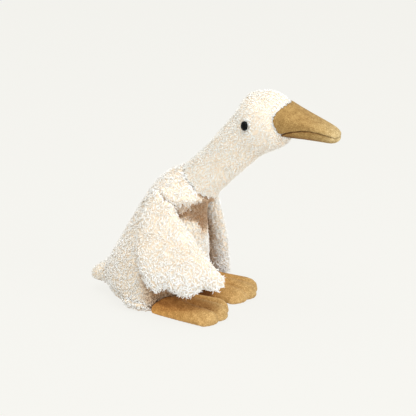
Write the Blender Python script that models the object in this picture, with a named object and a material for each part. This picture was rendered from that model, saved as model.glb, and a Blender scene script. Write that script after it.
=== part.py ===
"""A sewn and stuffed plush goose that sits on its rump, with its neck and its webbed feet stretched forward.

Metres, +Z up. The goose faces +X and its right side is at -Y. The origin is the middle of the flat seat of
its rump, on the surface that it sits on. Every soft piece is a closed solid of the outer size that its
pile has. A piece that is sewn to another is cut by that piece's shape, with SEAM_GAP between them.
"""

import math

import bmesh
import bpy
from mathutils import Vector

MM = 0.001

# Space left between two pieces that touch, and how far a sewn piece starts inside its carrier
SEAM_GAP = 0.3 * MM
ROOT_DEPTH = 9 * MM

# Body, from the seat up to the dome inside the neck. Depth and width are half sizes of a ring
SEAT_RADIUS = 38 * MM
SHOULDER_HEIGHT = 131 * MM
SHOULDER_FORWARD = 36 * MM
SHOULDER_DEPTH = 38 * MM
SHOULDER_WIDTH = 38.5 * MM
SHOULDER_LEAN = math.radians(7)
FOLD_HEIGHT = 0.912 * SHOULDER_HEIGHT
FOLD_FORWARD = 27.3 * MM
FOLD_DEPTH = 38.2 * MM
FOLD_WIDTH = 29 * MM
FOLD_LEAN = math.radians(8)
RUMP_HEIGHT = 0.214 * SHOULDER_HEIGHT
RUMP_FORWARD = 3 * MM
RUMP_DEPTH = 59 * MM
RUMP_WIDTH = 59 * MM
HIP_HEIGHT = 0.366 * SHOULDER_HEIGHT
HIP_FORWARD = 5.5 * MM
HIP_DEPTH = 58 * MM
HIP_WIDTH = 56 * MM
BELLY_HEIGHT = 0.565 * SHOULDER_HEIGHT
BELLY_FORWARD = 12.5 * MM
BELLY_DEPTH = 52 * MM
BELLY_WIDTH = 46 * MM
CHEST_HEIGHT = 0.832 * SHOULDER_HEIGHT
CHEST_FORWARD = 23 * MM
CHEST_DEPTH = 41.5 * MM
CHEST_WIDTH = 29 * MM
CHEST_LEAN = math.radians(5)
# Rings between the seat and the rump: share of the height, share of the swelling
RUMP_ROUNDING = ((0.18, 0.5), (0.5, 0.84))
# Rings of the dome: distance from the shoulder and size, as shares of the shoulder's, and share of its lean
DOME_ROUNDING = ((0.42, 0.69, 0.8), (0.66, 0.36, 1))

# Neck, a straight tube that leans forward from the middle of the shoulder
NECK_RADIUS = 25 * MM
NECK_WIDTH = 24.5 * MM
NECK_LEAN = math.radians(44.5)
NECK_DROP = 4.5 * MM
NECK_LENGTH = 52 * MM

# Head, measured forward and up from the end of the neck
HEAD_LENGTH = 82 * MM
HEAD_RISE = 81.5 * MM
HEAD_WIDTH = 31 * MM
# Rings from the nape to the face: forward and up of a ring's top and of its foot, and half width, as shares
HEAD_SHAPE = (
    (0.15, 0.66, 0.52, 0.07, 0.90),
    (0.24, 0.82, 0.60, 0.12, 0.97),
    (0.35, 0.945, 0.67, 0.16, 1.00),
    (0.54, 1.00, 0.74, 0.19, 0.98),
    (0.73, 0.99, 0.84, 0.24, 0.87),
    (0.87, 0.91, 0.93, 0.325, 0.63),
    (0.95, 0.77, 0.98, 0.455, 0.37),
    (0.99, 0.65, 1.00, 0.565, 0.13),
)

# Beak, measured along the mouth line from its end inside the head
BEAK_INSET = 28 * MM
BEAK_LENGTH = 77 * MM
MOUTH_RISE = 38 * MM
MOUTH_ARCH = 7.5 * MM
MOUTH_CORNER = 0.15
MOUTH_TILT = math.radians(-0.5)
BEAK_BASE_WIDTH = 26 * MM
BEAK_TIP_WIDTH = 13.5 * MM
UPPER_BASE_HEIGHT = 46 * MM
UPPER_TIP_HEIGHT = 5.5 * MM
UPPER_SLOPE = 0.82
BEAK_FULLNESS = 0.75
BEAK_CHEEK = 0.25
BEAK_ROOT_SHARE = 0.2
BEAK_ROOT_SIZE = 0.78
LOWER_BASE_HEIGHT = 2.2 * MM
LOWER_TIP_HEIGHT = 7.5 * MM
LOWER_INSET = 1.2 * MM
BEAK_ROUNDING = 10 * MM
BEAK_END_WIDTH = 0.3
BEAK_END_HEIGHT = 0.35

# Bead eyes, each a dome with a shank that goes into the head
EYE_RADIUS = 5.2 * MM
EYE_DOME = 3.8 * MM
EYE_SHANK_RADIUS = 1.6 * MM
EYE_SHANK_LENGTH = 7 * MM
EYE_SINK = 2 * MM
EYE_FORWARD = 0.3
EYE_TURN = math.radians(104)
EYE_TURNED_BACK = 0.5

# Wings: a flat pattern hung from the shoulder, measured forward and down from the middle of its root
WING_THICKNESS = 15 * MM
WING_ROOT_HEIGHT = SHOULDER_HEIGHT
WING_ROOT_WIDTH = 22 * MM
WING_ROOT_SINK = 6 * MM
WING_CROWN = 9 * MM
WING_LENGTH = 85 * MM
WING_REAR = 8 * MM
WING_REAR_BULGE = 23 * MM
WING_REACH = 96 * MM
WING_TIP_DROP = 81 * MM
WING_LEAD_BULGE = 0.5 * MM
WING_HEM_DROP = 22.5 * MM
WING_LOBE_DROP = 10 * MM
WING_LOBE_ENDS = (0, 0.31, 0.73, 1)
WING_BEND_RADIUS = 190 * MM
LEFT_WING_WRAP = 95 * MM
WING_STANDOFF = 4 * MM
WING_HANG = 0.75
RIGHT_WING_SWING = math.radians(0)
LEFT_WING_SWING = math.radians(-44)
RIGHT_WING_FORWARD = -18 * MM
LEFT_WING_FORWARD = 19 * MM

# Legs. Each is a stub that comes forward and inward from the flank, and the heel is sewn round its end
LEG_SPREAD = SEAT_RADIUS
LEG_OUT = 7 * MM
LEG_LENGTH = 26 * MM
LEG_RADIUS = 13 * MM
LEG_END_RADIUS = 10 * MM
LEG_LIFT = 0.5 * MM
RIGHT_LEG_SETBACK = 41 * MM
LEFT_LEG_SETBACK = 34 * MM
# Rings of a leg: share of its length, share of its radius
LEG_SHAPE = ((-0.6, 0.5), (-0.4, 0.8), (0, 1), (0.4, 1), (0.75, 0.9), (0.93, 0.65), (1, 0.35))

# Feet: a web with a flat sole and three toes. Widths are half widths
HEEL_OVERLAP = 8.5 * MM
FOOT_LENGTH = 86 * MM
FOOT_HEEL_WIDTH = 14 * MM
FOOT_TOE_WIDTH = 33 * MM
FOOT_HEEL_HEIGHT = 24 * MM
FOOT_TOE_HEIGHT = 17 * MM
FOOT_SOLE_EDGE = 3 * MM
FOOT_FLARE = 0.8
TOE_NOTCH = 5 * MM
TOE_ROUNDING = 16 * MM
TOE_GROOVE = 0.4
TOE_GROOVE_START = 0.3
RIGHT_FOOT_TURN = math.radians(0)
LEFT_FOOT_TURN = math.radians(-2)

# Tail, a stub low on the back. Widths and thicknesses are half sizes
TAIL_HEIGHT = 27 * MM
TAIL_LENGTH = 24 * MM
TAIL_ROOT_WIDTH = 22 * MM
TAIL_TIP_WIDTH = 11 * MM
TAIL_ROOT_THICKNESS = 17 * MM
TAIL_TIP_THICKNESS = 9.5 * MM
TAIL_DROOP = math.radians(18)
# Rings of the tail: share of its length, share of its size there
TAIL_SHAPE = ((0, 1), (0.3, 0.98), (0.55, 0.95), (0.78, 0.9), (0.92, 0.75), (1, 0.42))

# Faces round a ring and along a form
BODY_SIDES = 28
HEAD_SIDES = 24
BEAK_SIDES = 14
STUB_SIDES = 14
EYE_SIDES = 16
BODY_STEPS = 3
HEAD_STEPS = 2
WING_COLUMNS = 24
WING_ROWS = 13
FOOT_COLUMNS = 24
FOOT_ROWS = 11


def clear_scene():
    for old in list(bpy.data.objects):
        bpy.data.objects.remove(old)


def fabric(name, colour, roughness):
    material = bpy.data.materials.new(name)
    material.use_nodes = True
    shader = material.node_tree.nodes["Principled BSDF"]
    shader.inputs["Base Color"].default_value = (*colour, 1)
    shader.inputs["Roughness"].default_value = roughness
    shader.inputs["Metallic"].default_value = 0
    return material


def add_object(name, mesh, material):
    piece = bpy.data.objects.new(name, mesh)
    bpy.context.scene.collection.objects.link(piece)
    mesh.materials.append(material)
    mesh.shade_smooth()
    mesh.set_sharp_from_angle(angle=math.radians(50))
    return piece


def mesh_from(name, form):
    """A mesh of a bmesh, with its faces turned outwards."""
    bmesh.ops.recalc_face_normals(form, faces=form.faces)
    mesh = bpy.data.meshes.new(name)
    form.to_mesh(mesh)
    form.free()
    return mesh


def loft(name, rings, material):
    """A closed form through rings of points, with a flat face at each end."""
    form = bmesh.new()
    rows = [[form.verts.new(point) for point in ring] for ring in rings]
    for row, after in zip(rows, rows[1:]):
        for i in range(len(row)):
            j = (i + 1) % len(row)
            form.faces.new((row[i], row[j], after[j], after[i]))
    form.faces.new(rows[0])
    form.faces.new(rows[-1])
    return add_object(name, mesh_from(name, form), material)


def two_sided(name, upper, lower, across, along, material):
    """A closed pad between two surfaces given by a share across and a share along, which meet at the rim."""
    form = bmesh.new()
    sides = []
    for surface in (upper, lower):
        grid = {}
        for i, s in enumerate(across):
            for j, t in enumerate(along):
                on_rim = s in (0, 1) or t in (0, 1)
                if on_rim and sides:
                    grid[i, j] = sides[0][i, j]
                else:
                    grid[i, j] = form.verts.new(surface(s, t))
        sides.append(grid)
    for grid in sides:
        for i in range(len(across) - 1):
            for j in range(len(along) - 1):
                form.faces.new((grid[i, j], grid[i + 1, j], grid[i + 1, j + 1], grid[i, j + 1]))
    return add_object(name, mesh_from(name, form), material)


def even(count):
    """Shares from 0 to 1, evenly spread."""
    return [i / count for i in range(count + 1)]


def closer_at_ends(count):
    """Shares from 0 to 1 that lie closer together near 0 and near 1."""
    return [0, *((1 - math.cos(math.pi * i / count)) / 2 for i in range(1, count)), 1]


def cutter_of(piece, gap):
    """A hidden copy of a piece, grown all round by a gap, for cutting what seats on it."""
    mesh = piece.data.copy()
    form = bmesh.new()
    form.from_mesh(mesh)
    form.normal_update()
    for point, normal in [(v, v.normal.copy()) for v in form.verts]:
        point.co += normal * gap
    form.to_mesh(mesh)
    form.free()
    cutter = bpy.data.objects.new(piece.name + ".cutter", mesh)
    bpy.context.scene.collection.objects.link(cutter)
    cutter.hide_render = True
    cutter.display_type = "WIRE"
    return cutter


def cut(piece, *cutters):
    for cutter in cutters:
        boolean = piece.modifiers.new("seat on " + cutter.name, "BOOLEAN")
        boolean.operation = "DIFFERENCE"
        boolean.solver = "EXACT"
        boolean.object = cutter


def through(stations, steps):
    """Catmull-Rom points through stations of numbers, with some steps to each span."""
    ends = [stations[0], *stations, stations[-1]]
    found = []
    for before, start, end, after in zip(ends, ends[1:], ends[2:], ends[3:]):
        for step in range(steps):
            t = step / steps
            found.append([
                0.5 * (2 * b + t * (c - a) + t * t * (2 * a - 5 * b + 4 * c - d)
                       + t ** 3 * (3 * b - a - 3 * c + d))
                for a, b, c, d in zip(before, start, end, after)
            ])
    return [*found, list(stations[-1])]


def mix(a, b, t):
    return a + (b - a) * t


def ease(t):
    t = min(max(t, 0), 1)
    return t * t * (3 - 2 * t)


def curve(start, bend, end, t):
    """A quadratic curve that leaves start and reaches end, pulled towards bend."""
    return start * (1 - t) ** 2 + bend * 2 * t * (1 - t) + end * t * t


def leaning_ring(station, sides):
    """A ring of x, z, half depth, half width and lean. With no lean it lies level."""
    x, z, depth, width, lean = station
    front = Vector((math.cos(lean), 0, -math.sin(lean)))
    side = Vector((0, -1, 0))
    centre = Vector((x, 0, z))
    turns = [2 * math.pi * i / sides for i in range(sides)]
    return [centre + front * depth * math.cos(a) + side * width * math.sin(a) for a in turns]


def body_stations():
    """Rings of the body from the seat to the top of the dome that the neck sits over."""
    low = [(0, 0, SEAT_RADIUS, SEAT_RADIUS, 0)]
    for height, swell in RUMP_ROUNDING:
        low.append((RUMP_FORWARD * height, RUMP_HEIGHT * height,
                    mix(SEAT_RADIUS, RUMP_DEPTH, swell), mix(SEAT_RADIUS, RUMP_WIDTH, swell), 0))
    dome = []
    for away, size, lean in DOME_ROUNDING:
        dome.append((SHOULDER_FORWARD + math.sin(NECK_LEAN) * SHOULDER_DEPTH * away,
                     SHOULDER_HEIGHT + math.cos(NECK_LEAN) * SHOULDER_DEPTH * away,
                     SHOULDER_DEPTH * size, SHOULDER_WIDTH * size, mix(SHOULDER_LEAN, NECK_LEAN, lean)))
    return [
        *low,
        (RUMP_FORWARD, RUMP_HEIGHT, RUMP_DEPTH, RUMP_WIDTH, 0),
        (HIP_FORWARD, HIP_HEIGHT, HIP_DEPTH, HIP_WIDTH, 0),
        (BELLY_FORWARD, BELLY_HEIGHT, BELLY_DEPTH, BELLY_WIDTH, 0),
        (CHEST_FORWARD, CHEST_HEIGHT, CHEST_DEPTH, CHEST_WIDTH, CHEST_LEAN),
        (FOLD_FORWARD, FOLD_HEIGHT, FOLD_DEPTH, FOLD_WIDTH, FOLD_LEAN),
        (SHOULDER_FORWARD, SHOULDER_HEIGHT, SHOULDER_DEPTH, SHOULDER_WIDTH, SHOULDER_LEAN),
        *dome,
    ]


def body_at(height):
    """Middle, half depth and half width of the body at a height under its shoulder."""
    below = [s for s in through(body_stations(), BODY_STEPS) if s[1] <= SHOULDER_HEIGHT]
    for low, high in zip(below, below[1:]):
        if height <= high[1]:
            t = max(0, (height - low[1]) / (high[1] - low[1]))
            return [mix(low[k], high[k], t) for k in (0, 2, 3)]
    return [below[-1][k] for k in (0, 2, 3)]


def neck_frame():
    """Where the neck starts inside the body's dome, and the way that it points."""
    along = Vector((math.sin(NECK_LEAN), 0, math.cos(NECK_LEAN)))
    under = Vector((math.cos(NECK_LEAN), 0, -math.sin(NECK_LEAN)))
    return Vector((SHOULDER_FORWARD, 0, SHOULDER_HEIGHT)) + along * ROOT_DEPTH + under * NECK_DROP, along


def neck_end():
    start, along = neck_frame()
    return start + along * NECK_LENGTH


def neck_stations():
    """Rings of the neck, as body_stations gives them."""
    places = [neck_frame()[0].lerp(neck_end(), share) for share in (0, 1 / 3, 2 / 3, 1)]
    return [(at.x, at.z, NECK_RADIUS, NECK_WIDTH, NECK_LEAN) for at in places]


def head_stations():
    """Rings of the head, as body_stations gives them."""
    rings = []
    for top_x, top_z, foot_x, foot_z, width in HEAD_SHAPE:
        top = neck_end() + Vector((top_x * HEAD_LENGTH, 0, top_z * HEAD_RISE))
        foot = neck_end() + Vector((foot_x * HEAD_LENGTH, 0, foot_z * HEAD_RISE))
        middle = (top + foot) / 2
        lean = math.atan2(top.z - foot.z, foot.x - top.x)
        rings.append((middle.x, middle.z, (top - foot).length / 2, width * HEAD_WIDTH, lean))
    return rings


def make_body(material):
    rings = [leaning_ring(s, BODY_SIDES) for s in through(body_stations(), BODY_STEPS)]
    return loft("body", rings, material)


def make_neck_and_head(material):
    rings = [leaning_ring(s, HEAD_SIDES) for s in through(neck_stations() + head_stations(), HEAD_STEPS)]
    return loft("neck_and_head", rings, material)


def beak_ring(share, is_upper):
    """A ring of one half of the beak, flat along the mouth line and rounded outside it."""
    ahead = Vector((math.cos(MOUTH_TILT), 0, math.sin(MOUTH_TILT)))
    up = Vector((-math.sin(MOUTH_TILT), 0, math.cos(MOUTH_TILT)))
    side = Vector((0, -1, 0))
    root = neck_end() + Vector((HEAD_LENGTH - BEAK_INSET, 0, MOUTH_RISE))
    arch = MOUTH_ARCH * math.sin(math.pi * max(0, share - MOUTH_CORNER) / (1 - MOUTH_CORNER))
    place = root + ahead * BEAK_LENGTH * share + up * arch
    past = max(0, 1 - (1 - share) * BEAK_LENGTH / BEAK_ROUNDING)
    closing = math.sqrt(1 - past ** 2)
    opening = min(1, share / BEAK_ROOT_SHARE)
    fullness = mix(1, BEAK_FULLNESS, opening)
    root_size = mix(BEAK_ROOT_SIZE, 1, math.sqrt(1 - (1 - opening) ** 2))
    width = mix(BEAK_BASE_WIDTH, BEAK_TIP_WIDTH, share) * mix(BEAK_END_WIDTH, 1, closing) * root_size
    if is_upper:
        height = mix(UPPER_BASE_HEIGHT, UPPER_TIP_HEIGHT, share ** UPPER_SLOPE) - arch
        cheek = BEAK_CHEEK * 4 * (1 - share)
    else:
        height = -mix(LOWER_BASE_HEIGHT, LOWER_TIP_HEIGHT, share) - arch
        width -= LOWER_INSET
        cheek = 0
    height *= mix(BEAK_END_HEIGHT, 1, closing) * root_size
    lift = math.copysign(SEAM_GAP / 2, height)
    points = []
    for i in range(BEAK_SIDES):
        a = math.pi * i / (BEAK_SIDES - 1)
        rise = max(0, math.sin(a)) ** fullness
        spread = math.copysign(abs(math.cos(a)) ** fullness, math.cos(a)) * (1 + cheek * rise * (1 - rise))
        points.append(place + side * width * spread + up * (height * rise + lift))
    return points


def make_beak(name, is_upper, material, head_cutter):
    shares = [0, 0.12, 0.25, 0.38, 0.5, 0.62, 0.74, 0.84, 0.9, 0.95, 0.98, 1]
    piece = loft(name, [beak_ring(share, is_upper) for share in shares], material)
    cut(piece, head_cutter)


def make_eye(name, side, material):
    """A dome with a shank, turned round the normal of the head at its place."""
    nape, crown = head_stations()[1:3]
    x, z, depth, width, lean = [mix(a, b, EYE_FORWARD) for a, b in zip(nape, crown)]
    front = Vector((math.cos(lean), 0, -math.sin(lean)))
    across = Vector((0, side, 0))
    place = (Vector((x, 0, z)) + front * depth * math.cos(EYE_TURN)
             + across * width * math.sin(EYE_TURN))
    outward = (front * math.cos(EYE_TURN) / depth + across * math.sin(EYE_TURN) / width).normalized()
    outward = (outward + Vector((-EYE_TURNED_BACK, 0, 0))).normalized()
    place -= outward * EYE_SINK
    right = outward.orthogonal().normalized()
    other = outward.cross(right)
    profile = [(EYE_SHANK_RADIUS, -EYE_SHANK_LENGTH), (EYE_SHANK_RADIUS, 0), (EYE_RADIUS * 0.92, 0)]
    for i in range(6):
        a = math.radians(80) * i / 5
        profile.append((EYE_RADIUS * math.cos(a), EYE_DOME * (0.12 + 0.88 * math.sin(a))))
    rings = []
    for radius, height in profile:
        turns = [2 * math.pi * i / EYE_SIDES for i in range(EYE_SIDES)]
        rings.append([place + outward * height + right * radius * math.cos(a) + other * radius * math.sin(a)
                      for a in turns])
    return loft(name, rings, material)


def lobe(across):
    """How far a lobe of the hem comes down, from 0 at its ends to 1, for a share across."""
    for start, end in zip(WING_LOBE_ENDS, WING_LOBE_ENDS[1:]):
        if start <= across <= end:
            return math.sin(math.pi * (across - start) / (end - start)) ** 0.7
    return 0


def wing_pattern(across, along):
    """Forward and down from the root for a share across, rear to front, and a share along, root to hem."""
    rear_top = Vector((-WING_ROOT_WIDTH / 2, 0))
    lead_top = Vector((WING_ROOT_WIDTH / 2, 0))
    rear_end = Vector((-WING_REAR, WING_LENGTH))
    lead_end = Vector((WING_REACH, WING_TIP_DROP))
    rear_bend = (rear_top + rear_end) / 2 - Vector((WING_REAR_BULGE, 0))
    lead_bend = (lead_top + lead_end) / 2 + Vector((WING_LEAD_BULGE, -WING_LEAD_BULGE))
    hem_bend = (rear_end + lead_end) / 2 + Vector((0, WING_HEM_DROP))
    top = rear_top.lerp(lead_top, across) - Vector((0, WING_CROWN * 4 * across * (1 - across)))
    hem = curve(rear_end, hem_bend, lead_end, across)
    hem += Vector((0, WING_LOBE_DROP * lobe(across) * along ** 4))
    rear = curve(rear_top, rear_bend, rear_end, along)
    lead = curve(lead_top, lead_bend, lead_end, along)
    corners = rear_top.lerp(lead_top, across).lerp(rear_end.lerp(lead_end, across), along)
    return top.lerp(hem, along) + rear.lerp(lead, across) - corners


def wing_middle(across, along, side, swing, forward):
    """A point of the wing's middle surface, swung about the root and bent round the flank."""
    ahead, down = wing_pattern(across, along)
    turned = Vector((ahead * math.cos(swing) + down * math.sin(swing),
                     down * math.cos(swing) - ahead * math.sin(swing)))
    height = WING_ROOT_HEIGHT - turned.y
    hang = ease(max(0, turned.y / (WING_ROOT_HEIGHT - RUMP_HEIGHT)) ** WING_HANG)
    out = mix(SHOULDER_WIDTH - WING_ROOT_SINK, RUMP_WIDTH + WING_STANDOFF + WING_THICKNESS / 2, hang)
    radius = LEFT_WING_WRAP if side > 0 and turned.x > 0 else WING_BEND_RADIUS
    bend = turned.x / radius
    x = SHOULDER_FORWARD + forward + radius * math.sin(bend)
    inward = radius * (1 - math.cos(bend))
    return Vector((x, side * (out - inward), height))


def make_wing(name, side, swing, forward, material, body_cutter):
    def surface(face):
        def place(across, along):
            step = 0.02
            here = wing_middle(across, along, side, swing, forward)
            over = wing_middle(across + step, along, side, swing, forward)
            under = wing_middle(across, along + step, side, swing, forward)
            outward = (over - here).cross(under - here).normalized()
            full = (1 - abs(2 * across - 1) ** 5) ** 0.5 * (1 - abs(2 * along - 1) ** 7) ** 0.5
            return here + outward * face * full * WING_THICKNESS / 2
        return place

    piece = two_sided(name, surface(1), surface(-1), even(WING_COLUMNS), closer_at_ends(WING_ROWS), material)
    cut(piece, body_cutter)


def leg_place(side):
    """The middle of a leg's root on the floor before it is spread, and the way that its foot points."""
    middle, _, _ = body_at(LEG_RADIUS)
    turn, setback = (RIGHT_FOOT_TURN, RIGHT_LEG_SETBACK) if side < 0 else (LEFT_FOOT_TURN, LEFT_LEG_SETBACK)
    forward = Vector((math.cos(turn), side * math.sin(turn), 0))
    return Vector((middle + SEAT_RADIUS - setback, side * LEG_SPREAD, 0)), forward


def stub(name, places, material, body_cutter):
    """A closed form round places of middle, across, up and their half sizes, cut by the body."""
    rings = []
    for middle, across, width, up, thickness in places:
        turns = [2 * math.pi * i / STUB_SIDES for i in range(STUB_SIDES)]
        rings.append([middle + across * width * math.cos(a) + up * thickness * math.sin(a) for a in turns])
    piece = loft(name, rings, material)
    cut(piece, body_cutter)
    return piece


def make_leg(name, side, material, body_cutter):
    start, forward = leg_place(side)
    end = start + forward * LEG_LENGTH
    root = start + Vector((0, side * LEG_OUT, 0))
    up = Vector((0, 0, 1))
    across = (end - root).normalized().cross(up)
    places = []
    for share, size in LEG_SHAPE:
        radius = mix(LEG_RADIUS, LEG_END_RADIUS, max(0, share))
        middle = root.lerp(end, share) + up * (radius + LEG_LIFT)
        places.append((middle, across, radius * size, up, radius * size))
    return stub(name, places, material, body_cutter)


def make_foot(name, side, material, *cutters):
    """A triangular webbed foot with three toes, a flat sole and a groove between each two toes."""
    start, forward = leg_place(side)
    heel = start + forward * (LEG_LENGTH - HEEL_OVERLAP)
    across = forward.cross(Vector((0, 0, 1)))

    def toe(s):
        """1 on the middle of a toe and 0 in the notch beside it."""
        return abs(math.cos(1.5 * math.pi * (2 * s - 1)))

    def sole(s, along):
        span = 2 * s - 1
        reach = FOOT_LENGTH - TOE_ROUNDING * span ** 2 - TOE_NOTCH * (1 - toe(s) ** 0.6)
        width = mix(FOOT_HEEL_WIDTH, FOOT_TOE_WIDTH, along ** FOOT_FLARE)
        return heel + forward * reach * along + across * width * span

    def top(s, along):
        rise = mix(FOOT_HEEL_HEIGHT, FOOT_TOE_HEIGHT, ease(along)) - FOOT_SOLE_EDGE
        edge = math.sqrt(1 - abs(2 * s - 1) ** 4) * math.sqrt(1 - abs(2 * along - 1) ** 8)
        groove = TOE_GROOVE * ease(2 * (along - TOE_GROOVE_START)) * (1 - toe(s)) ** 1.5
        return sole(s, along) + Vector((0, 0, FOOT_SOLE_EDGE + rise * edge * (1 - groove)))

    piece = two_sided(name, top, sole, even(FOOT_COLUMNS), closer_at_ends(FOOT_ROWS), material)
    cut(piece, *cutters)


def make_tail(material, body_cutter):
    middle, depth, _ = body_at(TAIL_HEIGHT)
    back = Vector((-math.cos(TAIL_DROOP), 0, -math.sin(TAIL_DROOP)))
    up = Vector((-math.sin(TAIL_DROOP), 0, math.cos(TAIL_DROOP)))
    root = Vector((middle - depth + ROOT_DEPTH, 0, TAIL_HEIGHT))
    places = []
    for share, size in TAIL_SHAPE:
        at = root + back * (TAIL_LENGTH + ROOT_DEPTH) * share
        width = mix(TAIL_ROOT_WIDTH, TAIL_TIP_WIDTH, share) * size
        thickness = mix(TAIL_ROOT_THICKNESS, TAIL_TIP_THICKNESS, share) * size
        places.append((at, Vector((0, 1, 0)), width, up, thickness))
    stub("tail", places, material, body_cutter)


def main():
    clear_scene()
    pile = fabric("cream curly pile", (0.9, 0.83, 0.74), 0.95)
    velour = fabric("ochre velour", (0.52, 0.3, 0.1), 0.85)
    bead = fabric("black bead", (0.01, 0.01, 0.012), 0.15)

    body = make_body(pile)
    body_cutter = cutter_of(body, SEAM_GAP)
    head = make_neck_and_head(pile)
    head_cutter = cutter_of(head, SEAM_GAP)
    cut(head, body_cutter)
    make_beak("upper_beak", True, velour, head_cutter)
    make_beak("lower_beak", False, velour, head_cutter)
    for side, label in ((-1, "right"), (1, "left")):
        eye = make_eye(label + "_eye", side, bead)
        cut(head, cutter_of(eye, SEAM_GAP))
        swing, forward = ((RIGHT_WING_SWING, RIGHT_WING_FORWARD) if side < 0
                          else (LEFT_WING_SWING, LEFT_WING_FORWARD))
        make_wing(label + "_wing", side, swing, forward, pile, body_cutter)
        leg = make_leg(label + "_leg", side, pile, body_cutter)
        make_foot(label + "_foot", side, velour, cutter_of(leg, SEAM_GAP), body_cutter)
    make_tail(pile, body_cutter)


main()
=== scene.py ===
"""Looks of a seated plush goose: curly cream pile, ochre velour beak and feet, and bead eyes.

Metres, +Z up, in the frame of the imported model. The goose faces +X and its right side is at -Y.
"""

import math

import bpy
import numpy as np
from mathutils import Matrix, Vector
from mathutils.bvhtree import BVHTree
from mathutils.kdtree import KDTree


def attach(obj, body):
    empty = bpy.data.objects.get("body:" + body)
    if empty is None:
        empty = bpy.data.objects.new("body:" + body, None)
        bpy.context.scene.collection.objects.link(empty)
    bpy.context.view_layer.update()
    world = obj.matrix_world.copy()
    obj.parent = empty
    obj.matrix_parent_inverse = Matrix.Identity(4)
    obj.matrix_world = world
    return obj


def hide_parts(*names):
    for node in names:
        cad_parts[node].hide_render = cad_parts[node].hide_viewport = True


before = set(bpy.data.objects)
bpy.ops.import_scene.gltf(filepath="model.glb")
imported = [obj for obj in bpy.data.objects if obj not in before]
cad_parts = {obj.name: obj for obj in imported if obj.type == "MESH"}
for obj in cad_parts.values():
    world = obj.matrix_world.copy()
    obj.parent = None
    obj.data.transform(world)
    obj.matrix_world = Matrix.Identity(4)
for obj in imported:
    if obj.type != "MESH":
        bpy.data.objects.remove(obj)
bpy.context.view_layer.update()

MM = 0.001
# A direction that lies along no face or edge of the goose
SKEW = Vector((0.31, 0.17, 0.935)).normalized()

# Camera, worked out from the outlines of the goose in its photograph
CAMERA_AZIMUTH = math.radians(22)
CAMERA_ELEVATION = math.radians(18)
CAMERA_DISTANCE = 2.0
LOOKED_AT = Vector((0.035, 0, 0.125))
AIM_RIGHT = 26.7 * MM
AIM_DOWN = 15.4 * MM
SENSOR_WIDTH = 36
VIEW_WIDTH = 457.6 * MM

# Stuffed shells. The pile stands on them and reaches the size of the solid
VOXEL = 4 * MM
FINE_VOXEL = 2.4 * MM
VELOUR_VOXEL = 1.2 * MM
VELOUR_INSET = 0.1 * MM
VELOUR_SWELL = 0.4 * MM
PILE_INSET = 2.3 * MM
SIM_FRAMES = 20
SIM_PRESSURE = 4
MOST_SWELL = 1.6 * MM
SEAM_GAP = 0.4 * MM
SEAM_EASE = 6 * MM
SEAM_INSET = 0.1
FLOOR_CLEARANCE = 0.3 * MM
# The pile: clearance from other shells, spacing, and where it is longer
PILE_CLEARANCE = 0.4 * MM
LEAST_SPACING = 0.72
TRIED_PER_CURL = 2.2
CLUMP_REACH = 0.55
HEM_HEIGHT = 75 * MM
HEM_RISE = 50 * MM
BORDER_FRINGE = 4 * MM
SEAM_COVER = 4 * MM
SEAM_LENGTH = 1.5
NECK_END_HEIGHT = 185 * MM
# Painted fold shade: how far a curl looks round for other pieces, in how many directions, and the shares
# that count
FOLD_REACH = 75 * MM
LOOKS = 14
LIGHT_WAY = np.array((0, -0.2, 1.8))
FOLD_START = 0.1
FOLD_FULL = 0.5
ABOVE_PILE = PILE_INSET * 1.5
ABOVE_NAP = 0.6 * MM
# Where the painted fold shade is strong: the hollow of the chest, forward of, below and beside these places
CHEST_SHADE = 4.0
CHEST_FORWARD = (15 * MM, 30 * MM)
CHEST_BELOW = (138 * MM, 150 * MM)
CHEST_SIDE = (-22 * MM, 0)
CHEST_FAR_SHARE = 0.3
# Where the painted shade lies on the far wing, by how far behind the wing's front edge
CRACK_REACH = (9 * MM, 14 * MM)
CRACK_SHADE = 0.85

# Eyes: how far a bead's back bulges, as a share of its radius, and how deep its shank starts
BEAD_BACK = 0.16
SHANK_SINK = 0.1 * MM

# Curls of the pile: points of a strand's path and its radius there, in millimetres, before scaling
TEMPLATES = (
    (((0, 0, -0.4), (0.8, 0.4, 1.6), (2.4, 0.4, 2.2), (3.9, -0.8, 1.6)), (0.5, 0.6, 0.5, 0.1)),
    (((0, 0, -0.4), (0.8, -0.4, 1.6), (2.1, 0.3, 2.4), (1.8, 1.8, 1.9)), (0.5, 0.6, 0.52, 0.1)),
    (((0, 0, -0.4), (0.6, 0.1, 1.7), (1.9, 0.1, 2.4), (3.8, 0.0, 2.4)), (0.5, 0.58, 0.46, 0.1)),
)


def deselect():
    for item in bpy.context.selected_objects:
        item.select_set(False)


def take(piece):
    """Makes a piece the only one selected, and the active one."""
    deselect()
    piece.select_set(True)
    bpy.context.view_layer.objects.active = piece


def apply_modifiers(piece):
    take(piece)
    for modifier in list(piece.modifiers):
        bpy.ops.object.modifier_apply(modifier=modifier.name)


def coordinates(mesh):
    found = np.zeros(len(mesh.vertices) * 3, np.float32)
    mesh.vertices.foreach_get("co", found)
    return found.reshape(-1, 3).astype(float)


def normals(mesh):
    found = np.zeros(len(mesh.vertices) * 3, np.float32)
    mesh.vertices.foreach_get("normal", found)
    return found.reshape(-1, 3).astype(float)


def set_coordinates(mesh, points):
    mesh.vertices.foreach_set("co", points.astype(np.float32).ravel())
    mesh.update()


def triangles(mesh):
    mesh.calc_loop_triangles()
    found = np.zeros(len(mesh.loop_triangles) * 3, np.int32)
    mesh.loop_triangles.foreach_get("vertices", found)
    return found.reshape(-1, 3)


def unit(vectors):
    return vectors / np.maximum(np.linalg.norm(vectors, axis=-1, keepdims=True), 1e-12)


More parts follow.
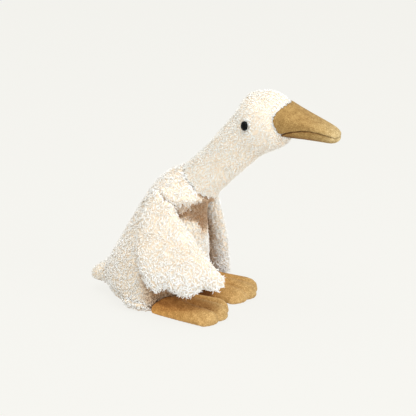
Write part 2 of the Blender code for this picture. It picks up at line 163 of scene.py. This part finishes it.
def solid_copy(part, name):
    """A merged copy of a solid's mesh as an object of its own."""
    piece = bpy.data.objects.new(name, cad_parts[part].data.copy())
    bpy.context.scene.collection.objects.link(piece)
    piece.data.materials.clear()
    take(piece)
    bpy.ops.object.mode_set(mode="EDIT")
    bpy.ops.mesh.select_all(action="SELECT")
    bpy.ops.mesh.remove_doubles(threshold=0.01 * MM)
    bpy.ops.object.mode_set(mode="OBJECT")
    return piece


def add_modifier(piece, kind, **settings):
    modifier = piece.modifiers.new(kind.title(), kind)
    for key, value in settings.items():
        setattr(modifier, key, value)
    return modifier


def swell(piece, most, room):
    """Blows the shell up a little as its filling does, with cloth, where it has the room for it."""
    before = coordinates(piece.data)
    cloth = add_modifier(piece, "CLOTH")
    cloth.settings.use_pressure = True
    cloth.settings.uniform_pressure_force = SIM_PRESSURE
    cloth.settings.effector_weights.gravity = 0
    cloth.point_cache.frame_start = 1
    cloth.point_cache.frame_end = SIM_FRAMES
    for step in range(1, SIM_FRAMES + 1):
        bpy.context.scene.frame_set(step)
    apply_modifiers(piece)
    bpy.context.scene.frame_set(1)
    after = coordinates(piece.data)
    moved = np.nan_to_num(after - before)
    length = np.linalg.norm(moved, axis=1, keepdims=True)
    capped = before + moved * np.minimum(1, most / np.maximum(length, 1e-9)) * room[:, None]
    capped[:, 2] = np.maximum(capped[:, 2], np.minimum(before[:, 2], 1.0 * MM))
    set_coordinates(piece.data, capped)


def tree_of(*pieces):
    """One search tree over the triangles of some pieces."""
    points, faces = [], []
    for piece in pieces:
        mesh = piece.data
        faces += [tuple(int(k) + len(points) for k in face) for face in triangles(mesh)]
        points += [tuple(point) for point in coordinates(mesh)]
    return BVHTree.FromPolygons(points, faces)


def room_beside(points, mates):
    """From 0 where a shell meets the pieces it is sewn to up to 1 a little away from them."""
    if not mates:
        return np.ones(len(points))
    tree = tree_of(*(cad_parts[mate] for mate in mates))
    apart = np.array([tree.find_nearest(Vector(point))[3] for point in points])
    share = np.clip((apart - SEAM_GAP) / SEAM_EASE, 0, 1)
    return share * share * (3 - 2 * share)


def stuffed(part, name, voxel, inset, most, mates, smooth=4, levels=1):
    """A soft shell inside a solid's shape, remeshed evenly, blown up by its filling and smoothed."""
    piece = solid_copy(part, name)
    add_modifier(piece, "REMESH", mode="VOXEL", voxel_size=voxel, use_smooth_shade=True)
    add_modifier(piece, "SMOOTH", factor=0.5, iterations=smooth)
    apply_modifiers(piece)
    mesh = piece.data
    points = coordinates(mesh)
    room = room_beside(points, mates)
    points -= normals(mesh) * ((inset + most * 0.5) * np.maximum(room, SEAM_INSET))[:, None]
    set_coordinates(mesh, points)
    swell(piece, most, room)
    if levels:
        add_modifier(piece, "SUBSURF", levels=levels, render_levels=levels)
        apply_modifiers(piece)
    points = coordinates(mesh)
    points[:, 2] = np.maximum(points[:, 2], FLOOR_CLEARANCE)
    set_coordinates(mesh, points)
    mesh.shade_smooth()
    return piece


def strand(path, radii):
    """Points and triangles of one curl: a curve with a three-sided bevel, made a mesh."""
    profile = bpy.data.curves.new("strand_profile", "CURVE")
    corners = profile.splines.new("POLY")
    corners.points.add(2)
    for i, point in enumerate(corners.points):
        turn = 2 * math.pi * i / 3
        point.co = (math.cos(turn), math.sin(turn), 0, 1)
    corners.use_cyclic_u = True
    profile_object = bpy.data.objects.new("strand_profile", profile)
    bpy.context.scene.collection.objects.link(profile_object)
    line = bpy.data.curves.new("strand", "CURVE")
    line.dimensions = "3D"
    line.bevel_mode = "OBJECT"
    line.bevel_object = profile_object
    line.use_fill_caps = True
    spline = line.splines.new("POLY")
    spline.points.add(len(path) - 1)
    for point, place, radius in zip(spline.points, path, radii):
        point.co = (*place, 1)
        point.radius = radius
    piece = bpy.data.objects.new("strand", line)
    bpy.context.scene.collection.objects.link(piece)
    take(piece)
    bpy.ops.object.convert(target="MESH")
    mesh = piece.data
    points, faces = coordinates(mesh), triangles(mesh)
    corners = points[faces] - points.mean(0)
    if np.linalg.det(corners).sum() < 0:
        faces = faces[:, ::-1]
    bpy.data.objects.remove(piece)
    bpy.data.objects.remove(profile_object)
    return points, faces.copy()


def strand_forms():
    """Each template with how far along the path its points lie, and its map, also mirrored."""
    forms = []
    for path, radii in TEMPLATES:
        points, faces = strand(path, radii)
        line = np.array(path)
        nearest = np.linalg.norm(points[:, None] - line[None], axis=2).argmin(1)
        along = nearest / (len(path) - 1)
        side = (np.arange(len(points)) % 3) / 3
        for flip in (1, -1):
            turned = points * (1, flip, 1)
            forms.append((turned, faces[:, ::flip], along, side))
    return forms


def spread(mesh, spacing, dice, allowed=None):
    """Places on a mesh at least about a spacing apart, with the normal of each."""
    points, faces, bent = coordinates(mesh), triangles(mesh), normals(mesh)
    a, b, c = (points[faces[:, k]] for k in range(3))
    areas = np.linalg.norm(np.cross(b - a, c - a), axis=1) / 2
    count = int(areas.sum() / spacing ** 2 * TRIED_PER_CURL)
    chosen = dice.choice(len(faces), count, p=areas / areas.sum())
    first, second = dice.random(count), dice.random(count)
    over = first + second > 1
    first[over], second[over] = 1 - first[over], 1 - second[over]
    weights = np.stack([1 - first - second, first, second], 1)[:, :, None]
    places = (points[faces[chosen]] * weights).sum(1)
    ways = unit((bent[faces[chosen]] * weights).sum(1))
    if allowed is not None:
        keep = allowed(places, ways)
        places, ways = places[keep], ways[keep]
    least = spacing * LEAST_SPACING
    cell = np.floor(places / least).astype(int)
    taken, kept = {}, []
    for i, (key, place) in enumerate(zip(map(tuple, cell), places)):
        x, y, z = key
        near = (
            taken.get((x + dx, y + dy, z + dz))
            for dx in (-1, 0, 1) for dy in (-1, 0, 1) for dz in (-1, 0, 1)
        )
        if all(other is None or ((place - other) ** 2).sum() > least ** 2 for other in near):
            taken[key] = place
            kept.append(i)
    return places[kept], ways[kept]


def clear_of(others, depth):
    """Says of places on a shell whether the pile there is outside each of the other solids."""
    trees = [tree_of(other) for other in others]

    def inside(tree, test):
        """Whether a ray out of the place leaves the solid once more than it enters."""
        crossed = 0
        hit = tree.ray_cast(test, SKEW)
        while hit[0] is not None:
            crossed += 1
            hit = tree.ray_cast(hit[0] + SKEW * 1e-6, SKEW)
        return crossed % 2 == 1

    def check(places, ways):
        tests = [Vector(test) for test in places + ways * depth]
        return np.array([not any(inside(tree, test) for tree in trees) for test in tests])

    return check


def fold_shade_share(around, places, ways, above=ABOVE_PILE):
    """How much painted shade each place gets: how deep in a fold it lies, from 0 in the open to 1, by
    looking toward the light.
    """
    turns = [(math.pi * (3 - math.sqrt(5)) * k, math.sqrt((k + 0.5) / LOOKS)) for k in range(LOOKS)]
    first = unit(np.cross(ways, SKEW))
    second = np.cross(ways, first)
    closed = np.zeros(len(places))
    starts = places + ways * above
    for turn, flat in turns:
        looks = unit(first * (math.cos(turn) * flat) + second * (math.sin(turn) * flat)
                     + ways * math.sqrt(1 - flat ** 2) + LIGHT_WAY)
        for i, (start, look) in enumerate(zip(starts, looks)):
            apart = around.ray_cast(Vector(start), Vector(look), FOLD_REACH)[3]
            if apart is not None:
                closed[i] += 1 - 0.5 * apart / FOLD_REACH
    return np.clip((closed / LOOKS - FOLD_START) / (FOLD_FULL - FOLD_START), 0, 1)


def ahead_of(points):
    """How far forward each point lies among the points of its piece, from 0 to 1."""
    return (points[:, 0] - points[:, 0].min()) / np.ptp(points[:, 0])


def even_shade(share):
    """The same share of the painted fold shade everywhere."""
    return lambda points: np.full(len(points), share)


def fading_shade(share, lost):
    """A share of the painted fold shade that is less toward the front of its piece."""
    return lambda points: share - lost * ahead_of(points)


def chest_shade(elsewhere):
    """The share of the painted fold shade on the body, most in the hollow below the shoulder fold."""
    def share(points):
        forward = np.interp(points[:, 0], CHEST_FORWARD, (0, 1))
        low = np.interp(points[:, 2], CHEST_BELOW, (1, 0))
        near = np.interp(points[:, 1], CHEST_SIDE, (1, CHEST_FAR_SHARE))
        return elsewhere + CHEST_SHADE * forward * low * near
    return share


def crack_shade(wing):
    """The share of the painted fold shade on the far wing, none along its front edge and more behind it."""
    outline = coordinates(wing.data)

    def share(points):
        front = [outline[abs(outline[:, 2] - height) < 3 * MM, 0].max() for height in points[:, 2]]
        return np.interp(front - points[:, 0], CRACK_REACH, (0, CRACK_SHADE))
    return share


def keep_values(mesh, values):
    for key, value in values.items():
        attribute = mesh.attributes.new(key, "FLOAT", "POINT")
        attribute.data.foreach_set("value", value.astype(np.float32))


def mark(piece, around, above, shade_weight):
    """Keeps on a shell the painted shade of each of its points, by how deep in a fold it lies, and how far
    forward on it.
    """
    points = coordinates(piece.data)
    painted_shade = np.minimum(fold_shade_share(around, points, normals(piece.data), above) * shade_weight(points), 1)
    keep_values(piece.data, {"painted_shade": painted_shade, "ahead": ahead_of(points)})


def flat_on(ways, vectors):
    """Vectors without what points out of the surface."""
    return vectors - ways * (vectors * ways).sum(1, keepdims=True)


def to_nearest(middles, places):
    """The way from each place to the nearest middle of a clump."""
    tree = KDTree(len(middles))
    for i, middle in enumerate(middles):
        tree.insert(middle, i)
    tree.balance()
    return np.array([middles[tree.find(place)[1]] for place in places]) - places


def beside(others, places):
    """Whether each place lies along a seam with one of the other shells."""
    tree = tree_of(*others)
    return np.array([tree.find_nearest(Vector(place), SEAM_COVER)[3] is not None for place in places])


def pile(name, shell, material, seed, spacing, clump, size, height, comb, combed, gathered, others,
         around, shade_weight, part=None):
    """Curls that stand on a shell, gathered in clumps and combed one way, as one mesh."""
    dice = np.random.default_rng(seed)
    places, ways = spread(shell.data, spacing, dice, clear_of(others, PILE_CLEARANCE))
    middles, _ = spread(shell.data, clump, dice)
    to_middle = to_nearest(middles, places)
    if part is not None:
        keep = part(places)
        places, ways, to_middle = places[keep], ways[keep], to_middle[keep]
    count = len(places)
    to_middle = flat_on(ways, to_middle)
    away = np.linalg.norm(to_middle, axis=1) / (clump * CLUMP_REACH)
    down = np.array([comb(place) for place in places])
    longer = np.linalg.norm(down, axis=1)
    down = flat_on(ways, down)
    wild = flat_on(ways, dice.normal(size=(count, 3)))
    drawn_in = gathered * np.minimum(away, 1)[:, None]
    lean = unit(unit(down) * combed + unit(to_middle) * drawn_in + unit(wild))
    tone = dice.random(count)
    longer = longer * np.where(beside(others, places), SEAM_LENGTH, 1)
    outer = np.minimum(away, 1.3)
    length = size * longer * dice.uniform(0.8, 1.2, count)
    rise = height * (1.12 - 0.38 * outer) * dice.uniform(0.85, 1.12, count)
    # Painted shade: browner where a curl lies deep in a fold, shut off from the light
    painted_shade = np.minimum(fold_shade_share(around, places, ways) * shade_weight(places), 1)
    forms = strand_forms()
    pick = dice.integers(0, len(forms), count)
    curls = (places, lean, np.cross(ways, lean), ways, length, rise)
    # The shade value darkens toward the roots, partly the pile's own colour and partly painted shade deep
    # among the curls, and toward each clump's edge, painted shade where the pile parts
    values = {"shade": (1.15 - 0.45 * outer) * longer, "tone": tone, "painted_shade": painted_shade}
    return strand_mesh(name, material, *set_strands(forms, pick, curls, values))


def set_strands(forms, pick, curls, values):
    """Points, triangles, values and map of all the curls: each form turned and sized at its places."""
    places, lean, across, ways, length, rise = curls
    cells = int(math.ceil(math.sqrt(len(places))))
    all_points, all_faces, all_corners = [], [], []
    all_values = {key: [] for key in values}
    offset = 0
    for k, (points, faces, along, side) in enumerate(forms):
        mine = np.flatnonzero(pick == k)
        local = points * MM
        placed = (places[mine, None]
                  + lean[mine, None] * (local[None, :, 0:1] * length[mine, None, None])
                  + across[mine, None] * (local[None, :, 1:2] * length[mine, None, None])
                  + ways[mine, None] * (local[None, :, 2:3] * rise[mine, None, None]))
        placed[:, :, 2] = np.maximum(placed[:, :, 2], FLOOR_CLEARANCE / 2)
        all_points.append(placed.reshape(-1, 3))
        indices = np.arange(len(mine))[:, None, None] * len(points) + faces[None] + offset
        all_faces.append(indices.reshape(-1, 3))
        offset += len(mine) * len(points)
        for key, value in values.items():
            share = along ** 0.8 if key == "shade" else np.ones(len(points))
            all_values[key].append(np.clip(share * value[mine, None], 0, 1).ravel())
        corner = np.stack([0.1 + 0.8 * side, 0.1 + 0.8 * along], 1)[faces].reshape(-1, 2)
        spot = np.stack([mine % cells, mine // cells], 1)
        all_corners.append(((spot[:, None] + corner[None]) / cells).reshape(-1, 2))
    return (np.concatenate(all_points), np.concatenate(all_faces),
            {key: np.concatenate(value) for key, value in all_values.items()}, np.concatenate(all_corners))


def strand_mesh(name, material, points, faces, values, corners):
    mesh = bpy.data.meshes.new(name)
    mesh.vertices.add(len(points))
    mesh.vertices.foreach_set("co", points.astype(np.float32).ravel())
    mesh.loops.add(len(faces) * 3)
    mesh.loops.foreach_set("vertex_index", faces.astype(np.int32).ravel())
    mesh.polygons.add(len(faces))
    mesh.polygons.foreach_set("loop_start", np.arange(0, len(faces) * 3, 3, dtype=np.int32))
    mesh.update(calc_edges=True)
    keep_values(mesh, values)
    layer = mesh.uv_layers.new(name="OFBake")
    layer.data.foreach_set("uv", corners.astype(np.float32).ravel())
    mesh.shade_smooth()
    mesh.materials.append(material)
    piece = bpy.data.objects.new(name, mesh)
    bpy.context.scene.collection.objects.link(piece)
    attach(piece, "root")
    return piece


# Materials

def new_group(name, inputs, outputs):
    group = bpy.data.node_groups.new(name, "ShaderNodeTree")
    for label, kind, value in inputs:
        socket = group.interface.new_socket(label, in_out="INPUT", socket_type="NodeSocket" + kind)
        if value is not None:
            socket.default_value = value
    for label, kind in outputs:
        group.interface.new_socket(label, in_out="OUTPUT", socket_type="NodeSocket" + kind)
    return group, group.nodes.new("NodeGroupInput"), group.nodes.new("NodeGroupOutput")


def node(tree, kind, links=(), **settings):
    """A node with its settings, and its inputs linked or given a value."""
    made = tree.nodes.new("ShaderNode" + kind)
    for key, value in settings.items():
        setattr(made, key, value)
    for key, value in dict(links).items():
        if isinstance(value, bpy.types.NodeSocket):
            tree.links.new(value, made.inputs[key])
        else:
            made.inputs[key].default_value = value
    return made


def mottle_group():
    """A mask of soft patches and fine grain at given scales, for pile that lies unevenly."""
    group, start, end = new_group(
        "mottle",
        [("Patches", "Float", 90.0), ("Grain", "Float", 600.0), ("Grain Share", "Float", 0.4)],
        [("Mask", "Float")])
    place = node(group, "TexCoord").outputs["Object"]
    patches = node(group, "TexNoise", {"Vector": place, "Scale": start.outputs["Patches"], "Detail": 3.0})
    grain = node(group, "TexNoise", {"Vector": place, "Scale": start.outputs["Grain"], "Detail": 2.0})
    both = node(group, "Mix", {"Factor": start.outputs["Grain Share"], "A": patches.outputs["Fac"],
                               "B": grain.outputs["Fac"]})
    group.links.new(both.outputs["Result"], end.inputs["Mask"])
    return group


def use_group(tree, group, **values):
    made = tree.nodes.new("ShaderNodeGroup")
    made.node_tree = group
    for key, value in values.items():
        made.inputs[key.replace("_", " ")].default_value = value
    return made


def new_material(name):
    material = bpy.data.materials.new(name)
    material.use_nodes = True
    tree = material.node_tree
    return material, tree, tree.nodes["Principled BSDF"]


def ramp(tree, value, stops):
    made = node(tree, "ValToRGB", {"Fac": value})
    elements = made.color_ramp.elements
    for i, (place, colour) in enumerate(stops):
        element = elements[i] if i < 2 else elements.new(place)
        element.position = place
        element.color = (*colour, 1)
    return made.outputs["Color"]


def painted_fold_shade(tree, colour, half, full):
    """A colour browned with painted shade where a place lies deep in a fold, shut off from the light."""
    painted_shade = node(tree, "Attribute", attribute_name="painted_shade").outputs["Fac"]
    tint = ramp(tree, painted_shade, [(0.0, (1, 1, 1)), (0.5, half), (1.0, full)])
    mixed = node(tree, "Mix", {"Factor": 1.0, 6: colour, 7: tint}, data_type="RGBA", blend_type="MULTIPLY")
    return mixed.outputs[2]


def pile_material(name, mottle, stops, patch_dark):
    """Curly pile: light brown at the roots, partly its own colour and partly painted shade deep among the
    curls, cream at the tips, with uneven patches and painted shade toward clump edges and in folds.
    """
    material, tree, shader = new_material(name)
    shade = node(tree, "Attribute", attribute_name="shade").outputs["Fac"]
    tone = node(tree, "Attribute", attribute_name="tone").outputs["Fac"]
    mask = use_group(tree, mottle, Patches=110.0, Grain=420.0, Grain_Share=0.35).outputs["Mask"]
    uneven = node(tree, "MapRange", {"Value": mask, "From Min": 0.3, "From Max": 0.7, "To Min": -patch_dark,
                                     "To Max": patch_dark}).outputs["Result"]
    varied = node(tree, "MapRange", {"Value": tone, "To Min": -0.12, "To Max": 0.12}).outputs["Result"]
    first = node(tree, "Math", {0: shade, 1: uneven}, operation="ADD").outputs[0]
    total = node(tree, "Math", {0: first, 1: varied}, operation="ADD", use_clamp=True).outputs[0]
    # Painted shade: browner where the curls lie deep in folds
    colour = painted_fold_shade(tree, ramp(tree, total, stops), (0.77, 0.63, 0.50), (0.50, 0.33, 0.20))
    tree.links.new(colour, shader.inputs["Base Color"])
    rough = node(tree, "MapRange", {"Value": total, "To Min": 1.0, "To Max": 0.8}).outputs["Result"]
    tree.links.new(rough, shader.inputs["Roughness"])
    shader.inputs["Sheen Weight"].default_value = 0.3
    shader.inputs["Sheen Roughness"].default_value = 0.6
    shader.inputs["Sheen Tint"].default_value = (1.0, 0.97, 0.92, 1)
    shader.inputs["Specular IOR Level"].default_value = 0.2
    return material


def ground_material(mottle):
    """The knitted cloth that the curls stand on, seen only between them."""
    material, tree, shader = new_material("pile_ground")
    mask = use_group(tree, mottle, Patches=150.0, Grain=900.0, Grain_Share=0.5).outputs["Mask"]
    # Light brown: partly the backing cloth's own colour and partly painted shade where it shows between the
    # curls
    colour = ramp(tree, mask, [(0.3, (0.86, 0.71, 0.54)), (0.7, (0.93, 0.85, 0.72))])
    # Painted shade: browner where the cloth lies deep in folds
    colour = painted_fold_shade(tree, colour, (0.80, 0.68, 0.56), (0.40, 0.26, 0.16))
    tree.links.new(colour, shader.inputs["Base Color"])
    bump = node(tree, "Bump", {"Strength": 0.6, "Distance": 0.4 * MM, "Height": mask})
    tree.links.new(bump.outputs["Normal"], shader.inputs["Normal"])
    shader.inputs["Roughness"].default_value = 0.95
    shader.inputs["Specular IOR Level"].default_value = 0.15
    return material


def velour_material(name, mottle, ahead_tint):
    """Short ochre pile, lighter where it is brushed up, browned with painted fold shade, and tinted by how
    far forward on its piece, a painted highlight on the toes of the feet, with a fine grain.
    """
    material, tree, shader = new_material(name)
    brushed = use_group(tree, mottle, Patches=170.0, Grain=900.0, Grain_Share=0.6).outputs["Mask"]
    fine = use_group(tree, mottle, Patches=700.0, Grain=2400.0, Grain_Share=0.5).outputs["Mask"]
    both = node(tree, "Mix", {"Factor": 0.45, "A": brushed, "B": fine}).outputs["Result"]
    colour = ramp(tree, both, [
        (0.36, (0.155, 0.08, 0.022)), (0.5, (0.275, 0.155, 0.048)), (0.64, (0.45, 0.285, 0.11))])
    # Painted shade: browner deep in folds, under the wing hems and between the feet
    colour = painted_fold_shade(tree, colour, (0.74, 0.63, 0.55), (0.32, 0.21, 0.15))
    # Tinted by how far forward: on the feet warmer and brighter at the heel and paler at the toes, a
    # painted highlight on the toe tops; on the beak much paler toward the tip
    ahead = node(tree, "Attribute", attribute_name="ahead").outputs["Fac"]
    ahead_tinted = ramp(tree, ahead, ahead_tint)
    colour = node(tree, "Mix", {"Factor": 1.0, 6: colour, 7: ahead_tinted}, data_type="RGBA",
                  blend_type="MULTIPLY").outputs[2]
    tree.links.new(colour, shader.inputs["Base Color"])
    rough = node(tree, "MapRange", {"Value": fine, "To Min": 0.95, "To Max": 0.7}).outputs["Result"]
    tree.links.new(rough, shader.inputs["Roughness"])
    bump = node(tree, "Bump", {"Strength": 0.55, "Distance": 0.5 * MM, "Height": both})
    tree.links.new(bump.outputs["Normal"], shader.inputs["Normal"])
    shader.inputs["Sheen Weight"].default_value = 0.15
    shader.inputs["Sheen Roughness"].default_value = 0.35
    shader.inputs["Sheen Tint"].default_value = (1.0, 0.82, 0.55, 1)
    shader.inputs["Specular IOR Level"].default_value = 0.2
    return material


def bead_material(mottle):
    material, tree, shader = new_material("black_bead")
    haze = use_group(tree, mottle, Patches=400.0, Grain=2000.0, Grain_Share=0.5).outputs["Mask"]
    rough = node(tree, "MapRange", {"Value": haze, "To Min": 0.04, "To Max": 0.12}).outputs["Result"]
    tree.links.new(rough, shader.inputs["Roughness"])
    shader.inputs["Base Color"].default_value = (0.003, 0.003, 0.003, 1)
    shader.inputs["Specular IOR Level"].default_value = 0.08
    shader.inputs["Coat Weight"].default_value = 0.0
    shader.inputs["Coat Roughness"].default_value = 0.03
    return material


# Pieces

def shell_of(node_name, name, material, voxel, inset, most, mates=(), smooth=4, levels=1):
    piece = stuffed(node_name, name, voxel, inset, most, mates, smooth, levels)
    piece.data.materials.append(material)
    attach(piece, "root")
    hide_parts(node_name)
    return piece


def combed_down(_place):
    return (0.0, 0.0, -1.0)


def combed_to_hem(place):
    """Down, and longer toward the hem of a wing."""
    return (0.0, 0.0, -1.0 - 0.5 * max(0.0, min(1.0, (HEM_HEIGHT - place[2]) / HEM_RISE)))


def combed_on_head(beak):
    """Back and down from the face, over the beak at its border and over the fronts of the eyes."""
    tree = tree_of(beak)
    eyes = [coordinates(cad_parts[side + "_eye"].data).mean(0) for side in ("right", "left")]

    def comb(place):
        if tree.find_nearest(Vector(place), BORDER_FRINGE)[3] is not None:
            return (1.2, 0.0, -0.3)
        for eye in eyes:
            ahead = place - eye
            if 2 * MM < ahead[0] < 9 * MM and np.linalg.norm(ahead) < 11 * MM:
                return (-1.4, 0.0, 0.1)
        return (-0.72, 0.0, -0.7)

    return comb


def make_shells(ground, velour):
    """The padded shell of every stuffed part, by the part's name."""
    cloth = {}

    def make_shell(part, voxel, inset, most, fill, *mates):
        cloth[part] = shell_of(part, part + "_cloth", ground, voxel, inset, most, mates)

    make_shell("body", VOXEL * 1.15, PILE_INSET, MOST_SWELL, 0.75,
               "neck_and_head", "right_wing", "left_wing", "right_leg", "left_leg", "tail")
    make_shell("neck_and_head", VOXEL * 0.9, PILE_INSET * 0.8, MOST_SWELL * 0.7, 0.8, "body")
    for side in ("right", "left"):
        make_shell(side + "_wing", VOXEL * 0.9, PILE_INSET, MOST_SWELL, 0.5, "body")
        make_shell(side + "_leg", FINE_VOXEL, PILE_INSET * 0.9, MOST_SWELL * 0.6, 0.6,
                   "body", side + "_foot")
    make_shell("tail", FINE_VOXEL, PILE_INSET * 0.9, MOST_SWELL * 0.6, 0.6, "body")
    for part, mate, fill in (("upper_beak", "lower_beak", 0.8), ("lower_beak", "upper_beak", 0.8),
                             ("right_foot", "right_leg", 0.55), ("left_foot", "left_leg", 0.55)):
        kind = part.split("_")[-1]
        cloth[part] = shell_of(part, part + "_velour", velour[kind], VELOUR_VOXEL, VELOUR_INSET,
                               VELOUR_SWELL, (mate,), smooth=3, levels=0)
    return cloth


def mark_shells(cloth, around):
    """Paints the fold shade on every shell, each by its own share of it."""
    shade_weights = {
        "body": chest_shade(0.3), "neck_and_head": even_shade(0.15),
        "right_wing": even_shade(0.2), "left_wing": crack_shade(cloth["left_wing"]),
        "upper_beak": fading_shade(1, 1), "lower_beak": fading_shade(1, 1),
        "right_foot": fading_shade(0.85, 0.4), "left_foot": fading_shade(1.3, 0.6),
    }
    for part, shell in cloth.items():
        above = ABOVE_NAP if part.endswith(("beak", "foot")) else ABOVE_PILE
        mark(shell, around, above, shade_weights.get(part, even_shade(1.0)))


def make_soft_parts(ground, cream, short_cream, velour):
    cloth = make_shells(ground, velour)
    around = tree_of(*cloth.values())
    mark_shells(cloth, around)

    def shells(*parts):
        return [cloth[part] for part in parts]

    by_body = shells("neck_and_head", "right_leg", "left_leg", "tail", "right_foot", "left_foot")
    for name, side in (("rump_right_curls", -1), ("rump_left_curls", 1)):
        pile(name, cloth["body"], cream, 11, 1.55 * MM, 3.6 * MM, 0.88, 0.95, combed_down, 0.5, 0.9,
             by_body, around, chest_shade(1.2), lambda p, side=side: p[:, 1] * side >= 0)
    by_head = shells("body", "upper_beak", "lower_beak")
    comb = combed_on_head(cloth["upper_beak"])
    for name, side in (("neck_curls", -1), ("head_curls", 1)):
        pile(name, cloth["neck_and_head"], short_cream, 12, 1.38 * MM, 3.0 * MM, 0.76, 0.72, comb, 1.2, 0.6,
             by_head, around, even_shade(0.12),
             lambda p, side=side: (p[:, 2] - NECK_END_HEIGHT) * side >= 0)
    for side, wing_shade in (("right", even_shade(0.2)), ("left", crack_shade(cloth["left_wing"]))):
        pile(side + "_wing_curls", cloth[side + "_wing"], cream, 13, 1.55 * MM, 3.5 * MM, 0.92, 0.95,
             combed_to_hem, 0.6, 0.9, shells("body"), around, wing_shade)
        pile(side + "_leg_curls", cloth[side + "_leg"], cream, 14, 1.7 * MM, 3.5 * MM, 0.9, 0.9,
             combed_down, 0.4, 0.9, shells("body", side + "_foot"), around, even_shade(1.0))
    pile("tail_curls", cloth["tail"], short_cream, 15, 1.6 * MM, 3.5 * MM, 0.8, 0.6,
         combed_down, 0.6, 0.9, shells("body"), around, even_shade(1.0))


def round_axis(points, sign):
    """The middle of a round solid's points and the axis that it is round about, toward one side."""
    middle = points.mean(0)
    _, shares, axes = np.linalg.svd(points - middle, full_matrices=False)
    odd = max(range(3), key=lambda k: abs(shares[k] - np.delete(shares, k).mean()))
    return middle, axes[odd] * (1 if axes[odd][1] * sign > 0 else -1)


def make_eye(side, material):
    """A domed bead on a shank, turned to the way that its solid faces."""
    name = side + "_eye"
    points = coordinates(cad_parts[name].data)
    middle, axis = round_axis(points, 1 if side == "left" else -1)
    heights = (points - middle) @ axis
    radii = np.linalg.norm((points - middle) - heights[:, None] * axis, axis=1)
    radius = radii.max()
    rim = heights[radii > radius * 0.97].min()
    dome = heights.max() - rim
    shank_radius = radii[heights < rim - 1 * MM].max()
    shank_depth = rim - heights.min()
    centre = Vector(middle + axis * rim)
    turn = Vector(axis).to_track_quat("Z", "Y").to_matrix().to_4x4()
    deselect()
    bpy.ops.mesh.primitive_uv_sphere_add(segments=40, ring_count=24, radius=radius)
    bead = bpy.context.object
    bead.name = name + "_bead"
    points = coordinates(bead.data)
    points[:, 2] *= np.where(points[:, 2] > 0, dome / radius, BEAD_BACK)
    set_coordinates(bead.data, points)
    bpy.ops.mesh.primitive_cylinder_add(vertices=24, radius=shank_radius, depth=shank_depth,
                                        location=(0, 0, -shank_depth / 2 - SHANK_SINK))
    shank = bpy.context.object
    take(bead)
    shank.select_set(True)
    bpy.ops.object.join()
    bead.data.transform(turn)
    bead.data.transform(Matrix.Translation(centre))
    bead.data.shade_smooth()
    bead.data.materials.clear()
    bead.data.materials.append(material)
    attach(bead, "root")
    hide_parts(name)


# Studio

def make_camera():
    right = Vector((math.cos(CAMERA_AZIMUTH), math.sin(CAMERA_AZIMUTH), 0))
    back = Vector((math.sin(CAMERA_AZIMUTH) * math.cos(CAMERA_ELEVATION),
                   -math.cos(CAMERA_AZIMUTH) * math.cos(CAMERA_ELEVATION), math.sin(CAMERA_ELEVATION)))
    up = back.cross(right)
    data = bpy.data.cameras.new("camera")
    data.sensor_width = SENSOR_WIDTH
    data.lens = SENSOR_WIDTH * CAMERA_DISTANCE / VIEW_WIDTH
    camera = bpy.data.objects.new("camera", data)
    bpy.context.scene.collection.objects.link(camera)
    camera.location = LOOKED_AT + back * CAMERA_DISTANCE
    aim = LOOKED_AT + right * AIM_RIGHT - up * AIM_DOWN
    camera.rotation_euler = (aim - camera.location).to_track_quat("-Z", "Y").to_euler()
    bpy.context.scene.camera = camera


def add_area(name, place, size, power, colour=(1, 1, 1)):
    data = bpy.data.lights.new(name, "AREA")
    data.size = size
    data.energy = power
    data.color = colour
    lamp = bpy.data.objects.new(name, data)
    bpy.context.scene.collection.objects.link(lamp)
    lamp.location = place
    lamp.rotation_euler = (Vector((0.03, 0, 0.12)) - Vector(place)).to_track_quat("-Z", "Y").to_euler()


def make_studio():
    deselect()
    bpy.ops.mesh.primitive_plane_add(size=12, location=(0, 0, 0))
    floor = bpy.context.object
    floor.name = "floor"
    material, tree, shader = new_material("pale_floor")
    shader.inputs["Base Color"].default_value = (0.05, 0.05, 0.05, 1)
    shader.inputs["Roughness"].default_value = 1
    shader.inputs["Specular IOR Level"].default_value = 0
    shader.inputs["Emission Color"].default_value = (0.93, 0.922, 0.878, 1)
    shader.inputs["Emission Strength"].default_value = 0.915
    floor.data.materials.append(material)
    world = bpy.data.worlds.new("studio")
    bpy.context.scene.world = world
    world.use_nodes = True
    sky = world.node_tree.nodes["Background"]
    sky.inputs["Color"].default_value = (0.95, 0.945, 0.92, 1)
    sky.inputs["Strength"].default_value = 0.68
    add_area("key", (0.1, -0.6, 1.7), 1.1, 14)
    add_area("top", (-0.2, 0.2, 1.8), 1.2, 9)
    add_area("fill", (1.6, -0.5, 0.6), 0.9, 16)
    add_area("front", (0.75, -1.7, 0.5), 0.9, 7)
    bpy.context.scene.view_settings.view_transform = "Standard"
    bpy.context.scene.view_settings.look = "None"


def main():
    make_camera()
    make_studio()
    mottle = mottle_group()
    ground = ground_material(mottle)
    cream = pile_material("cream_curls", mottle, [
        (0.0, (0.85, 0.73, 0.58)), (0.3, (0.89, 0.85, 0.775)), (0.6, (0.91, 0.905, 0.875)),
        (1.0, (0.93, 0.935, 0.93))], 0.32)
    short_cream = pile_material("cream_short_curls", mottle, [
        (0.0, (0.80, 0.675, 0.525)), (0.3, (0.86, 0.83, 0.76)), (0.65, (0.89, 0.895, 0.865))], 0.28)
    # Much paler toward the tip of the beak
    beak_velour = velour_material("beak_velour", mottle, [
        (0.0, (1.04, 1.1, 1.1)), (0.5, (1.06, 1.12, 1.15)), (0.78, (1.25, 1.45, 1.75)),
        (1.0, (1.6, 2.1, 3.2))])
    # Warmer at the heel and paler toward the toes: a painted highlight on the toe tops
    foot_velour = velour_material("foot_velour", mottle, [
        (0.0, (2.3, 2.0, 1.6)), (0.5, (1.7, 1.62, 1.5)), (1.0, (1.5, 1.7, 2.1))])
    bead = bead_material(mottle)
    make_soft_parts(ground, cream, short_cream, {"beak": beak_velour, "foot": foot_velour})
    for side in ("right", "left"):
        make_eye(side, bead)


main()
